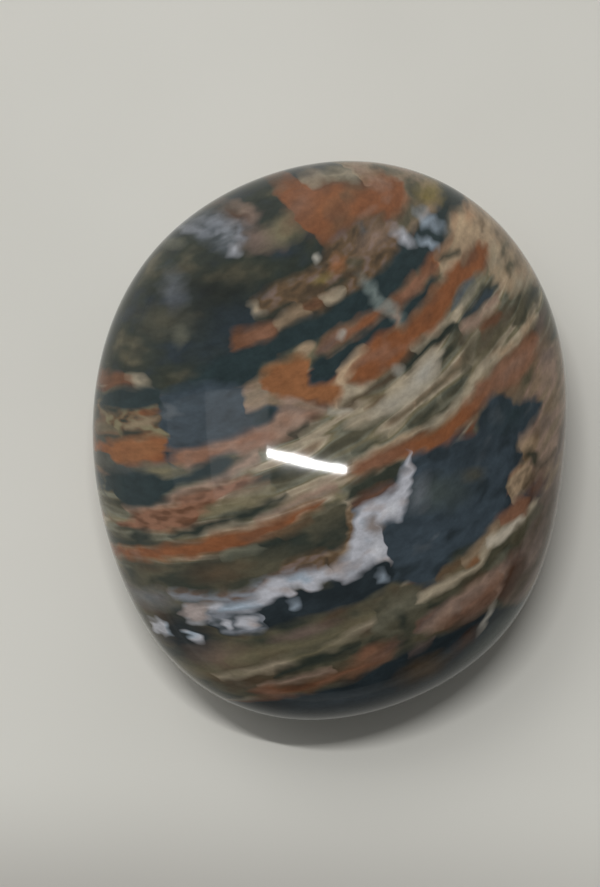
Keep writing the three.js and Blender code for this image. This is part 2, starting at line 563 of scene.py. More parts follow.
# The rust blotch at the far end, and the mottled brown beds under it.
ground = lay(
    ground, rust,
    [(3.9, 29.5), (4.3, 32), (5.5, 33.6), (7.2, 33.4), (8, 31.2), (9.5, 30.6), (10.5, 29.9), (12, 28.4),
     (13, 27.8), (14.5, 27.3), (16, 26.4), (16.9, 24.4)],
    [(3.9, 29.5), (4.4, 27.3), (5.5, 26.4), (7, 26.2), (8.5, 26.1), (9.5, 25.6), (11, 25), (12, 24.2),
     (13, 23.4), (15, 23.1), (16.2, 23.4), (16.9, 24.4)], soft=1.0, fray=1.0,
)
ground = spot(ground, UMBER, (7.5, 27.2), (1.6, 0.5), turn=-10, cover=0.5, soft=0.9, fray=0.8)
ground = spot(ground, RUST_PINK, (6, 31), (2.4, 0.9), turn=15, cover=0.6, soft=0.9, fray=0.8)
ground = spot(ground, RUST_BROWN, (4.9, 29.6), (0.9, 1.6), cover=0.4, soft=0.9, fray=0.8)
ground = spot(ground, OCHRE, (8.6, 28.8), (2.4, 0.9), turn=-15, cover=0.6, soft=0.9)
ground = streak(ground, UMBER, [(9.5, 28.6, 0.3), (11, 28.4, 0.5), (12.4, 28, 0.3)], soft=0.6, cover=0.6)
ground = streak(
    ground, CREAM,
    [(7.8, 32, 0.4), (9.5, 31.6, 0.5), (11, 30.6, 0.5), (13, 29.2, 0.5)],
    soft=0.6, cover=0.7,
)
ground = lay(
    ground, mud,
    [(-5.2, 25), (-4.5, 25.9), (-2, 26.1), (0, 25.8), (3, 25.3), (5, 26.4), (8, 26.2), (10, 25.4),
     (12.5, 23.8), (13.4, 22.4)],
    [(-5.2, 25), (-4.6, 24.1), (-3, 23.3), (-1, 21.3), (3, 21), (9, 20.6), (12, 21.2), (13.4, 22.4)],
    fray=0.8,
)
ground = spot(ground, CREAM, (-4.7, 24.9), (0.5, 0.8), cover=0.7, fray=0.6)
ground = spot(ground, OCHRE, (4.6, 24.3), (1.1, 0.7), turn=20, cover=0.8, fray=0.6)
ground = spot(ground, MUSTARD, (2.2, 23.9), (1.0, 0.35), cover=0.6)
ground = streak(ground, MOSS_BLACK, [(-5, 23.95, 0.25), (-3.5, 23.7, 0.3), (-1.6, 23.45, 0.2)], fray=0.3)
ground = streak(ground, BARK, [(-0.6, 23.3, 0.3), (0.8, 23.3, 0.42), (2.2, 23, 0.3)], fray=0.5)
ground = streak(ground, OLIVE_DEEP, [(2.4, 22.8, 0.2), (3.4, 22.7, 0.32), (4.8, 22.9, 0.25)], fray=0.5)
ground = spot(ground, BARK, (5.3, 22.9), (0.6, 0.35), fray=0.4)
ground = spot(ground, KHAKI, (6.6, 23.3), (1.0, 0.5), turn=-20, fray=0.6, cover=0.8)
ground = spot(ground, SLATE_PALE, (9.4, 25), (0.5, 0.6), turn=30, fray=0.6, cover=0.5)
ground = streak(ground, UMBER, [(9.8, 24.8, 0.2), (10.7, 24.5, 0.3), (11.5, 24.3, 0.15)], fray=0.5, cover=0.7)
ground = spot(ground, SALMON, (10, 23.4), (2, 0.8), turn=-15, cover=0.5, soft=0.8, fray=0.8)
ground = spot(ground, MILK, (3.2, 26), (0.5, 0.35), turn=50, cover=0.8, fray=0.6)
ground = lay(
    ground, tints(cloud, (0.40, RUST_BROWN), (0.60, RUST_PINK)),
    [(-9.8, 22.3), (-8.8, 23.2), (-7.8, 23.95), (-6.5, 23.7), (-5, 23.4), (-4, 23), (-3.2, 22.4)],
    [(-9.8, 22.3), (-8.8, 22), (-7, 21.6), (-5.5, 21.4), (-4.2, 21.7), (-3.2, 22.4)], fray=0.3,
)
ground = streak(ground, DUN, [(-3.8, 22.4, 0.6), (-2.5, 22.4, 0.7), (-0.8, 22.2, 0.7)], soft=0.4, cover=0.9)
ground = streak(
    ground, RUST_BROWN,
    [(-0.5, 22.3, 0.5), (0.4, 22.2, 0.6), (1.1, 22.1, 0.5)],
    soft=0.4, cover=0.7,
)
ground = streak(ground, CREAM, [(1.5, 21.9, 0.5), (2.5, 21.7, 0.55), (3.6, 21.7, 0.3)], fray=0.5, cover=0.8)

# The two dark blue bands under them, and the olive and tan ground at their far end.
ground = lay(
    ground, SEA_BLUE,
    [(-18, 19.5), (-14, 21), (-9.5, 21.9), (-7, 21.5), (-5, 21.3), (-3, 21.5), (-1, 21.2), (1, 20.9),
     (3, 21.1), (5, 20.8), (8, 20.8), (11, 20.9), (12.5, 21.4), (14, 21.1), (16, 20.9), (18.6, 20.2),
     (20, 20.5), (22, 20), (23.8, 18)],
    [(-18, 19.5), (-14, 18.5), (-10.2, 17.8), (-9, 18), (-8, 18.8), (-7, 19.2), (-5, 19.1), (-3.5, 19.3),
     (-2, 18.9), (0, 18.8), (2, 18.6), (3, 18.3), (5, 18), (7, 17.7), (9, 18), (12, 17.7), (13.5, 18),
     (15, 17.7), (16.5, 17.3), (17.6, 17.3), (18.3, 17.8), (19.2, 18.1), (20.5, 17.9), (22, 17), (23.8, 18)],
)
ground = spot(ground, MOSS_BLACK, (20.8, 19.2), (2.4, 1.1), turn=-15, cover=0.6, soft=0.7)
ground = spot(ground, MUSTARD, (18.6, 21.5), (1.7, 1.1), turn=-20, fray=0.8, cover=0.9)
ground = spot(ground, KHAKI, (15.7, 22), (1.2, 1.0), fray=0.8, cover=0.9)
ground = lay(
    ground, tints(cloud, (0.4, RUST_BROWN), (0.6, RUST_PINK)),
    [(-2.8, 18.4), (-1, 18.8), (1, 18.8), (2.5, 18.4), (4, 18.3), (5.2, 18.1), (7, 17.7), (8, 18),
     (9.5, 17.9), (11, 18), (12, 17.5), (13.5, 17.7), (14.6, 17.2)],
    [(-2.8, 18.4), (-2.3, 17.8), (-1, 17.3), (1, 17.2), (3, 16.9), (5, 16.9), (6.5, 16.7), (8, 16.3),
     (10, 16.3), (12, 16.4), (13.5, 16.1), (14.6, 17.2)], fray=0.4,
)
ground = spot(ground, RUST, (4, 17.6), (1.7, 0.5), cover=0.8)
ground = spot(ground, TAN, (-3.2, 18.9), (0.8, 0.5), fray=0.4, cover=0.8)
ground = spot(ground, MAUVE, (-0.8, 18), (1.3, 0.5), cover=0.7)
ground = spot(ground, MILK, (0.9, 18.1), (0.5, 0.45), fray=0.5, cover=0.7)
ground = lay(
    ground, SEA_BLUE,
    [(-4.4, 16.1), (-3.3, 17), (-2.7, 17.7), (-1.8, 17.6), (-1, 17.2), (1, 17.1), (3, 17), (5, 16.9),
     (6.2, 16.5), (7, 15.7)],
    [(-4.4, 16.1), (-3.8, 15.5), (-3, 15.1), (-2, 14.8), (-1, 15.3), (1, 15.6), (3, 15.85), (4, 15.9),
     (5, 15.7), (6, 15.2), (7, 15.7)],
)
ground = lay(
    ground, SEA_BLUE,
    [(7, 15.4), (7.8, 16.3), (9.5, 16.45), (11, 16.35), (12.5, 16.35), (13.8, 15.8)],
    [(7, 15.4), (8, 14.8), (9.5, 15), (10.5, 15), (11.5, 15.4), (12.5, 15.5), (13.8, 15.8)],
)
ground = streak(
    ground, OLIVE_DEEP,
    [(14.6, 16.8, 0.25), (15.8, 16.3, 0.35), (16.8, 15.9, 0.3), (17.4, 15.6, 0.2)],
)
ground = spot(ground, SAND, (19.6, 16.5), (1.8, 1.2), turn=-20, cover=0.75, soft=0.9)
ground = spot(ground, OCHRE, (21, 16.7), (0.9, 0.7), cover=0.5, soft=0.8)
ground = spot(ground, UMBER, (21.9, 14.6), (0.5, 0.6), cover=0.7, soft=0.7)
ground = spot(ground, LILAC, (12.9, 21.3), (1.1, 0.6), turn=-60, soft=0.8, fray=0.4, cover=0.9)
ground = spot(ground, ICE, (16.6, 20.2), (1.4, 0.6), turn=-68, soft=0.8, fray=0.4, cover=0.75)
ground = spot(ground, ICE, (14.8, 19), (1.0, 0.45), turn=-68, soft=0.8, fray=0.4, cover=0.8)
ground = spot(ground, HAZE, (6.2, 19.6), (1.7, 0.6), turn=96, soft=0.9, fray=0.4, cover=0.6)
ground = spot(ground, HAZE, (6.8, 16.8), (1.5, 0.6), turn=110, soft=0.9, fray=0.4, cover=0.6)

# The main rust bed, and the ochre patch at its near end.
ground = streak(
    ground, TAN, [(-3, 12.5, 0.3), (-1.6, 13.6, 0.9), (-0.8, 14.4, 1.0), (0.5, 14.9, 0.6), (2.4, 15.4, 0.3)],
    fray=0.3,
)
ground = streak(ground, CREAM, [(-2.9, 12.2, 0.2), (-1.3, 12.7, 0.5), (0.2, 12.4, 0.5), (1.6, 12.2, 0.2)])
ground = lay(
    ground, rust,
    [(-1.2, 13.5), (0, 14.2), (1, 14.7), (2, 15.2), (3, 15.7), (4, 15.8), (5, 15.6), (6, 15.1), (7, 14.8),
     (9, 14.9), (10.5, 15), (12, 15.4), (14, 15), (15, 15.3), (16, 15.1), (17, 14.5), (19, 14.4),
     (20, 13.9), (21.3, 13.1)],
    [(-1.2, 13.5), (0, 12.9), (1, 12.6), (3, 12.3), (5.5, 12.1), (7, 12.5), (8.5, 12.6), (9.3, 12.1),
     (10, 11.7), (10.8, 12), (12.5, 12.5), (14.5, 13.1), (15.5, 13), (16.5, 12.6), (17.5, 12.2),
     (19, 12), (20.2, 12.2), (21.3, 13.1)], fray=0.2,
)
ground = lay(
    ground, tints(cloud, (0.4, SALMON), (0.6, DUN)),
    [(-11.6, 16.3), (-11, 18.2), (-9.6, 18.2), (-8.2, 18.4), (-7.5, 17), (-5, 13.5), (-3.6, 12.4)],
    [(-11.6, 16.3), (-11, 15.4), (-9.5, 15.2), (-8, 14.3), (-6, 13), (-4.6, 12.2), (-3.6, 12.4)],
    soft=0.4, fray=0.5, cover=0.9,
)
ground = lay(
    ground, OCHRE,
    [(-9, 16.6), (-8.6, 17.7), (-8, 18.5), (-7, 19), (-6, 19.1), (-5, 18.8), (-3.9, 18.5), (-2.8, 18)],
    [(-9, 16.6), (-8.2, 15.8), (-7, 15.1), (-6, 14.7), (-5, 14.8), (-4.4, 15.8), (-3.6, 17), (-2.8, 18)],
    fray=0.3,
)
ground = lay(
    ground, OCHRE,
    [(-7.5, 15.4), (-6, 15.8), (-4.6, 15.6), (-3.5, 14.8), (-2.5, 14.3), (-1.1, 13.4)],
    [(-7.5, 15.4), (-6, 14.5), (-5, 13.6), (-4, 12.8), (-3, 12.3), (-2.2, 12.7), (-1.1, 13.4)],
    fray=0.2,
)
ground = lay(
    ground, tints(cloud, (0.4, RUST_PINK), (0.6, SALMON)),
    [(-20.2, 12.9), (-18, 13.6), (-15, 13.6), (-12, 13.6), (-10.5, 13.5), (-9.3, 13.8), (-8.5, 14.3),
     (-7, 13.7), (-5.5, 12.9), (-4.2, 12.1)],
    [(-20.2, 12.9), (-19.5, 11.4), (-18, 11.2), (-16.5, 11.9), (-15, 12), (-13, 11.3), (-11, 11.2),
     (-9, 11.4), (-7, 11.6), (-5.5, 11.9), (-4.2, 12.1)], fray=0.3,
)
ground = spot(ground, MAROON, (-5.7, 12), (0.8, 0.35), cover=0.6)
ground = spot(ground, SEA_BLUE, (-10.1, 14.4), (1.1, 0.8), turn=10, fray=0.4)

# The slate block and the stack of small blocks beside it, which old cracks have cut off square.
ground = lay(
    ground, slate,
    [(-19.9, 13.5), (-19.3, 15.5), (-18.4, 18.3), (-17.8, 19.8), (-14, 20), (-11, 18.8), (-9.6, 18.2)],
    [(-19.9, 13.5), (-18, 13.5), (-14, 13.6), (-12, 13.6), (-11.5, 14), (-11.2, 16.3), (-10.6, 17.6),
     (-9.6, 18.2)],
    fray=0.2,
)
ground = lay(
    ground, KHAKI,
    [(-34, 26), (-24, 24), (-22, 22), (-21.3, 18)],
    [(-34, 10), (-25, 11), (-23, 12.2), (-21.3, 18)], soft=1.2, cover=0.6,
)
ground = lay(
    ground, RUST_BROWN,
    [(-22, 21.6), (-21, 22.3), (-18.6, 22.4), (-17.9, 21.8)],
    [(-22, 21.6), (-21, 20.9), (-18.5, 20.8), (-17.9, 21.8)], fray=0.2,
)
ground = spot(ground, CREAM, (-18, 21.3), (0.5, 0.8), fray=0.5, cover=0.8)
ground = lay(
    ground, SEA_BLUE,
    [(-22.2, 19.3), (-21.2, 20.6), (-18.2, 20.8), (-17, 20.4)],
    [(-22.2, 19.3), (-21.6, 18.4), (-18.2, 18.2), (-17, 20.4)], fray=0.2,
)
ground = lay(
    ground, tints(mottle, (0.35, OLIVE_DEEP), (0.48, UMBER), (0.6, OLIVE)),
    [(-22.8, 17), (-22, 18.3), (-18.4, 18.4), (-18, 17.9)],
    [(-22.8, 17), (-22.3, 15.4), (-19.2, 15.2), (-18.9, 16), (-18, 17.9)], fray=0.2,
)
ground = streak(ground, DUN, [(-21.5, 16.4, 0.2), (-20, 16.9, 0.4), (-18.8, 17.3, 0.3)], cover=0.8)
ground = spot(ground, RUST, (-19.1, 18), (0.8, 0.3), cover=0.8)
ground = spot(ground, MOSS_BLACK, (-21.4, 15.7), (0.9, 0.5), cover=0.9)
ground = lay(
    ground, tints(cloud, (0.4, RUST), (0.6, OCHRE)),
    [(-24.2, 13.8), (-23.4, 15.1), (-19.6, 15.3), (-19.2, 14.8)],
    [(-24.2, 13.8), (-23.4, 12.5), (-20.6, 12.4), (-20, 13), (-19.2, 14.8)], fray=0.2,
)
ground = spot(ground, OLIVE, (-21.3, 11.5), (1.5, 0.8), fray=0.5, cover=0.9)

# The laminated middle: thin dark and cream beds, and a milky blob among them.
ground = streak(
    ground, BARK,
    [(-2.8, 11.85, 0.2), (-1, 11.6, 0.4), (1, 11.6, 0.4), (3.4, 11.6, 0.35)],
    fray=0.4,
)
ground = streak(
    ground, MOSS_BLACK,
    [(4.8, 11.4, 0.45), (7, 11.35, 0.6), (9, 11.3, 0.6), (11, 11.05, 0.7), (12.2, 10.8, 0.5)],
    fray=0.3,
)
ground = spot(ground, MILK, (4.1, 11.6), (0.5, 0.7), cover=0.5)
ground = streak(ground, MILK, [(-4, 12, 0.25), (-3, 11.4, 0.35), (-2.2, 11, 0.2)], cover=0.6)
ground = streak(ground, OLIVE_DEEP, [(-8.6, 11.5, 0.2), (-7.6, 11.6, 0.3), (-6.6, 11.5, 0.2)], fray=0.4)
ground = streak(ground, CREAM, [(-8, 10.7, 0.15), (-6.5, 10.8, 0.25), (-4.8, 11, 0.15)], cover=0.8)
ground = streak(ground, UMBER, [(-1, 10.3, 0.15), (0.3, 10.35, 0.25), (1.6, 10.2, 0.15)], fray=0.4)
ground = lay(
    ground, CREAM,
    [(-4.6, 9.4), (-3, 10.1), (-2, 10.2), (0, 10), (1, 9.9), (2, 10.5), (3.5, 10.8), (5, 10.3), (6, 10.7),
     (7.5, 10.8), (9, 10.3), (9.8, 9.8)],
    [(-4.6, 9.4), (-3, 9.2), (-1, 8.8), (1, 8.5), (3, 8), (4.5, 8.1), (6.5, 8.3), (8, 8.6), (9.8, 9.8)],
    soft=0.5, fray=0.6, cover=0.9,
)
ground = spot(ground, MILK, (6.3, 9.4), (2, 0.9), turn=8, cover=0.8, soft=0.7)
ground = spot(ground, MILK, (2, 9.1), (1.8, 0.7), turn=-8, cover=0.5, soft=0.8)
ground = streak(ground, KHAKI, [(-5.5, 8.2, 0.12), (-2, 8.4, 0.2), (1, 8, 0.15), (3.4, 7.4, 0.12)], cover=0.8)
ground = streak(ground, OLIVE_DEEP, [(-4, 7.1, 0.2), (-2, 6.9, 0.35), (0, 6.9, 0.2)], fray=0.5, cover=0.8)
ground = streak(ground, OLIVE_DEEP, [(2.4, 6.3, 0.2), (4, 5.9, 0.3), (6, 6.2, 0.2)], fray=0.5, cover=0.8)
ground = streak(ground, KHAKI, [(4, 7.3, 0.15), (6.5, 7.5, 0.25), (9, 7.4, 0.25), (11, 7, 0.15)], fray=0.5)
ground = streak(ground, OLIVE_DEEP, [(7, 6.2, 0.2), (9, 6.2, 0.35), (11, 6.3, 0.3)], fray=0.5, cover=0.8)
ground = spot(ground, OLIVE_DEEP, (9.6, 9.2), (1.4, 0.35), turn=5, fray=0.6, cover=0.8)
ground = streak(
    ground, CREAM,
    [(7, 12.2, 0.15), (9, 12.1, 0.2), (11, 12, 0.2), (13, 11.6, 0.4), (14.5, 11.6, 0.3)],
    cover=0.8,
)
ground = spot(ground, MOSS_BLACK, (11, 10.9), (1.4, 0.4), turn=-8, cover=0.8)
ground = streak(
    ground, SLATE_PALE,
    [(13.2, 12.3, 0.25), (15.3, 12.5, 0.5), (16.8, 12.2, 0.2)],
    fray=0.4, cover=0.9,
)
ground = streak(ground, SAGE, [(14.4, 11.5, 0.3), (16, 11.5, 0.4), (18, 11.6, 0.3)], cover=0.7)
ground = lay(
    ground, tints(cloud, (0.42, MOSS_BLACK), (0.6, SLATE)),
    [(12.7, 10.6), (14, 11), (15.5, 10.95), (17.5, 11.05), (18.3, 10.7), (19.6, 9.6)],
    [(12.7, 10.6), (13.6, 10.2), (14.6, 9.95), (16, 9.6), (18, 9.35), (19.6, 9.6)], fray=0.3,
)
ground = lay(
    ground, tints(lamina, (0.36, BARK), (0.5, BARK), (0.58, KHAKI)),
    [(10, 6.8), (11.3, 8.2), (12.5, 9.3), (14, 9.1), (16, 8.6), (18, 7.9), (20.4, 6.4)],
    [(10, 6.8), (11, 6), (13, 5.6), (15, 5.2), (17, 5.4), (20.4, 6.4)], soft=0.8, fray=0.8, cover=0.75,
)
ground = streak(ground, RUST_BROWN, [(14.4, 8.2, 0.4), (16, 7.9, 0.6), (17.8, 7.5, 0.3)], fray=0.6, cover=0.9)
ground = streak(ground, KHAKI, [(11, 7.7, 0.12), (14, 7.4, 0.2), (17, 6.7, 0.15)], cover=0.7)
ground = streak(
    ground, SALMON,
    [(12.4, 10, 0.2), (13.3, 9.8, 0.4), (14.5, 9.3, 0.35), (16, 9.15, 0.35), (18.4, 8.8, 0.25)],
    fray=0.4,
)
ground = lay(
    ground, tan,
    [(18.5, 10.2), (20, 12.2), (23, 11), (34, 6)],
    [(18.5, 10.2), (20, 8), (24, 5.5), (34, 0)], soft=0.8, fray=0.6, cover=0.7,
)
ground = spot(ground, KHAKI, (22, 9.4), (1.3, 0.6), turn=-20, fray=0.6, cover=0.9)
ground = spot(ground, KHAKI, (22.4, 10.8), (1.5, 0.55), fray=0.6, cover=0.8)
ground = lay(
    ground, tints(lamina, (0.4, OLIVE_DEEP), (0.55, KHAKI)),
    [(17.5, 5), (19, 6.3), (21, 6.4), (23, 5.6), (24.5, 4.6)],
    [(17.5, 5), (19, 4.5), (21, 4.1), (23, 4), (24.5, 4.6)], soft=0.5, fray=0.5,
)

# The beds at the left under the blocks: a dark lens, rust and olive, and the lower rust bed.
ground = streak(
    ground, SALMON,
    [(-25.5, 7.3, 0.3), (-22.5, 7.8, 0.35), (-20.5, 8.8, 0.35), (-18, 9.3, 0.4), (-15, 10.1, 0.4),
     (-12.5, 10.8, 0.4)],
    soft=0.4, cover=0.9,
)
ground = lay(
    ground, SEA_BLUE,
    [(-26, 9.8), (-25, 11.4), (-23, 11.7), (-21.5, 10.9), (-20, 10.8), (-19, 11), (-16, 11.8),
     (-15, 11.3), (-14.5, 10.9)],
    [(-26, 9.8), (-25.5, 8), (-24, 7.7), (-22.5, 8.2), (-21, 9), (-19.5, 9.6), (-17.5, 9.8),
     (-15.5, 10.4), (-14.5, 10.9)],
    fray=0.3,
)
ground = lay(
    ground, tints(mottle, (0.38, RUST_BROWN), (0.55, RUST_PINK)),
    [(-27, 6), (-25, 7.2), (-22.5, 7.6), (-20.5, 8.5), (-18, 9), (-15, 9.2), (-12.6, 8.6)],
    [(-27, 6), (-26, 4.9), (-24, 4.6), (-21.5, 4.9), (-20, 6), (-18, 7.2), (-15, 8), (-12.6, 8.6)],
    soft=0.4, fray=0.6,
)
ground = streak(
    ground, OLIVE,
    [(-20.5, 5.8, 0.3), (-18, 6.4, 0.8), (-15.5, 6.8, 0.8), (-13, 7, 0.4)],
    soft=0.5, fray=0.6, cover=0.9,
)
ground = streak(ground, UMBER, [(-17.5, 7.3, 0.12), (-15, 7.5, 0.25), (-13, 7.6, 0.15)], fray=0.3)
ground = streak(
    ground, MOSS_BLACK,
    [(-23.4, 3.9, 0.3), (-20, 4.6, 0.5), (-18, 4.9, 0.5), (-16, 5.1, 0.6), (-14, 5.5, 0.5),
     (-12, 5.8, 0.25)],
    fray=0.4,
)
ground = streak(
    ground, SALMON,
    [(-16, 4.1, 0.15), (-14, 4.4, 0.3), (-12, 4.7, 0.4), (-10, 4.85, 0.5), (-8.5, 4.8, 0.6),
     (-7, 4.6, 0.4)],
    cover=0.9,
)
ground = spot(ground, MOSS_BLACK, (-26, 3.9), (0.7, 1), turn=-20, fray=0.4)
ground = lay(
    ground, rust,
    [(-29, 2.2), (-27, 2.7), (-25, 2.9), (-22, 3.2), (-20, 3.7), (-18, 3.8), (-16, 3.7), (-14, 3.8),
     (-12, 4), (-10, 4.1), (-8.2, 3.9)],
    [(-29, 2.2), (-27, 1.2), (-25, 1.4), (-22, 1.5), (-20, 1.6), (-18, 1.9), (-16, 2.1), (-14, 2.3),
     (-12, 3.1), (-10, 3.3), (-8.2, 3.9)],
    fray=0.3,
)
ground = lay(
    ground, tints(cloud, (0.36, MOSS_BLACK), (0.5, OLIVE_DEEP), (0.64, KHAKI)),
    [(-25, 0.5), (-20, 1.5), (-16, 2), (-12, 2.8), (-9.5, 3.1), (-8, 3.3), (-6.8, 2.8)],
    [(-25, 0.5), (-23, -1.5), (-20, -2.6), (-16.5, -2.4), (-13, -1.5), (-11, -1.9), (-9, -1.8), (-8.3, -0.6),
     (-7.6, 1), (-6.8, 2.8)], soft=0.5, fray=0.5,
)
ground = spot(ground, MOSS_BLACK, (-10, 0), (2.4, 1.4), cover=0.7, soft=0.8, fray=0.5)
ground = spot(ground, KHAKI, (-17, -0.6), (2.6, 1.1), cover=0.8, soft=0.8, fray=0.5)
ground = spot(ground, UMBER, (-21.5, -0.6), (2.0, 1.0), cover=0.6, soft=0.8, fray=0.5)
ground = streak(
    ground, UMBER,
    [(-14.8, 2.1, 0.4), (-13, 2.4, 0.5), (-11.5, 2.8, 0.3)],
    soft=0.5, fray=0.5, cover=0.8,
)
ground = streak(ground, SAGE, [(-20.5, 1.1, 0.15), (-18.8, 1.35, 0.3), (-17, 1.4, 0.15)], fray=0.3, cover=0.8)
ground = lay(
    ground, tints(mottle, (0.38, BARK), (0.5, UMBER), (0.62, MAUVE)),
    [(-17, -2.3), (-15, -1.2), (-13, -1), (-11, -1.8), (-10.3, -2.6)],
    [(-17, -2.3), (-15, -3.2), (-13, -3.6), (-11, -3.3), (-10.3, -2.6)], soft=0.4, fray=0.6,
)

# The lower rust bed as it goes on to the right, with a cream line above it.
ground = streak(
    ground, tints(cloud, (0.4, TAN), (0.6, CREAM)),
    [(-4.5, 5.9, 0.15), (-2.5, 6.15, 0.25), (0, 5.9, 0.25), (2, 5.4, 0.25), (4, 4.8, 0.25), (6, 4.5, 0.3),
     (9, 4.65, 0.35), (11, 5, 0.35), (12.5, 5.1, 0.4), (14, 4.8, 0.4), (16, 4.2, 0.35), (18, 3.85, 0.35),
     (20, 3.65, 0.35), (21.8, 3.2, 0.3)],
    soft=0.4, cover=0.9,
)
ground = lay(
    ground, rust,
    [(-5.4, 5), (-4.5, 5.5), (-3, 5.85), (-1, 5.6), (1, 5.2), (3, 4.5), (5, 4.1), (7, 4), (9, 3.95),
     (10.5, 4.1), (11.3, 4.5), (12.3, 4.1), (14, 3.8), (16, 3.5), (18, 3.2), (19.6, 2.8), (21.5, 1.6)],
    [(-5.4, 5), (-4.3, 4.6), (-2, 4.3), (-0.5, 4), (0.5, 3.6), (1.5, 3.2), (3, 2.8), (4, 2.4), (5, 2),
     (6, 1.8), (7.5, 2.2), (9, 2.1), (10.5, 2.3), (12, 2.4), (13.5, 1.8), (15, 1.1), (16.5, 0.8),
     (18, 0.7), (19.6, 1.1), (21.5, 1.6)], fray=0.3,
)
ground = spot(ground, RUST_PINK, (-2.5, 5), (3, 0.9), turn=-5, cover=0.8, soft=0.8)
ground = spot(ground, RUST_PINK, (16, 2.2), (4.5, 1.3), turn=-12, cover=0.8, soft=0.8)
ground = spot(ground, SALMON, (16, 2.3), (4, 0.9), turn=-12, cover=0.4, soft=0.8)
ground = spot(ground, MAUVE, (22.3, 2.4), (1.3, 0.6), cover=0.8, soft=0.7, fray=0.5)
ground = lay(
    ground, OLIVE_DEEP,
    [(-7.3, 3.1), (-6, 4), (-4, 4.2), (-2, 4.1), (-0.5, 3.8), (0.3, 3.2)],
    [(-7.3, 3.1), (-6.5, 2.6), (-5, 2.7), (-3, 2.3), (-1.5, 2.4), (0.3, 3.2)], soft=0.4, fray=0.6,
)
ground = streak(
    ground, RUST_BROWN,
    [(-6.5, 1.9, 0.4), (-4.5, 2, 0.6), (-2.8, 1.8, 0.5), (-2.2, 1.6, 0.3)],
    soft=0.5, fray=0.5, cover=0.8,
)

# The big slate patch at the right, and the tan lobe that bites into it.
ground = lay(
    ground, slate,
    [(-6.6, -5.8), (-5.9, -3.2), (-5.2, -1.4), (-4, -1.2), (-3, -1.5), (-2.3, -1), (-1.5, 0.1),
     (-0.8, 1.2), (0, 2.6), (0.6, 3.4), (1.2, 3.5), (2, 3.1), (3, 2.8), (5, 2), (6.5, 1.7), (7.3, 1.1),
     (8.2, 0.9), (9, 1.4), (10, 2.1), (11.3, 2.3), (12.5, 1.7), (13.3, 0.9), (14.3, -0.5), (15.5, -1.2),
     (16.5, -2), (17.6, -3.2)],
    [(-6.6, -5.8), (-6, -7), (-5, -8.6), (-3.5, -10), (-2.4, -10.1), (-1.2, -9.4), (0, -9), (2, -8.8),
     (4, -8.9), (6, -8.5), (7.5, -8.2), (8.4, -7.6), (8.9, -6.6), (9.8, -6.05), (11.3, -5.95),
     (12, -5.6), (12.4, -4.3), (13.2, -3.8), (15, -3.75), (16.6, -3.9), (17.6, -3.2)], fray=0.3,
)
ground = spot(ground, SLATE_DEEP, (7, -0.5), (3, 1.7), cover=0.8, soft=0.8)
ground = spot(ground, SLATE_GREEN, (1.6, -1.6), (3, 1.4), turn=-28, cover=0.8, soft=0.8, fray=0.4)
ground = spot(ground, MIST, (-0.2, -0.6), (0.9, 1.4), turn=-40, cover=0.4, soft=0.9, fray=0.4)
ground = spot(ground, SLATE_DEEP, (-2.5, -2.3), (2, 0.8), cover=0.6, soft=0.8)
ground = spot(ground, KHAKI, (6, -2.7), (1.1, 0.6), turn=-30, cover=0.6, soft=0.8, fray=0.5)
ground = spot(ground, SLATE_DEEP, (6, -4), (1.1, 0.6), turn=-20, cover=0.7, soft=0.8)
ground = spot(ground, MOSS_BLACK, (0.9, -8.6), (1.2, 0.45), cover=0.9, soft=0.6)
ground = spot(ground, SLATE_PALE, (11.4, 0.2), (0.5, 0.8), turn=30, cover=0.8, soft=0.8)
ground = spot(ground, SEA_BLUE, (13.5, -1.2), (2.6, 1.3), turn=-30, cover=0.7, soft=0.8)
ground = lay(
    ground, tints(mottle, (0.34, DUN), (0.66, TAN)),
    [(8.5, -7.9), (8.9, -6.7), (9.8, -6.15), (11.3, -6.05), (12.2, -6.6), (13, -7.6)],
    [(8.5, -7.9), (9, -8.6), (11, -8.6), (12.3, -8.3), (13, -7.6)], fray=0.3,
)
ground = spot(ground, OLIVE_DEEP, (13.3, -6.7), (1.6, 0.5), turn=-72, fray=0.4, cover=0.9)
ground = spot(ground, TAN, (13.2, -4.8), (1.1, 0.7), turn=-30, cover=0.7, fray=0.5)
ground = spot(ground, KHAKI, (16.8, 0.1), (1.4, 0.5), fray=0.6, cover=0.9)
ground = spot(ground, MAUVE, (20.9, -0.8), (1.4, 0.7), turn=-25, fray=0.5, cover=0.8)
ground = spot(ground, MAUVE, (16.3, -5.2), (1.5, 0.8), turn=-20, fray=0.5, cover=0.7)
ground = streak(
    ground, BARK,
    [(11, -8.4, 0.25), (12.5, -8.3, 0.4), (14, -8.4, 0.35), (16.5, -8.5, 0.25)],
    fray=0.5,
)

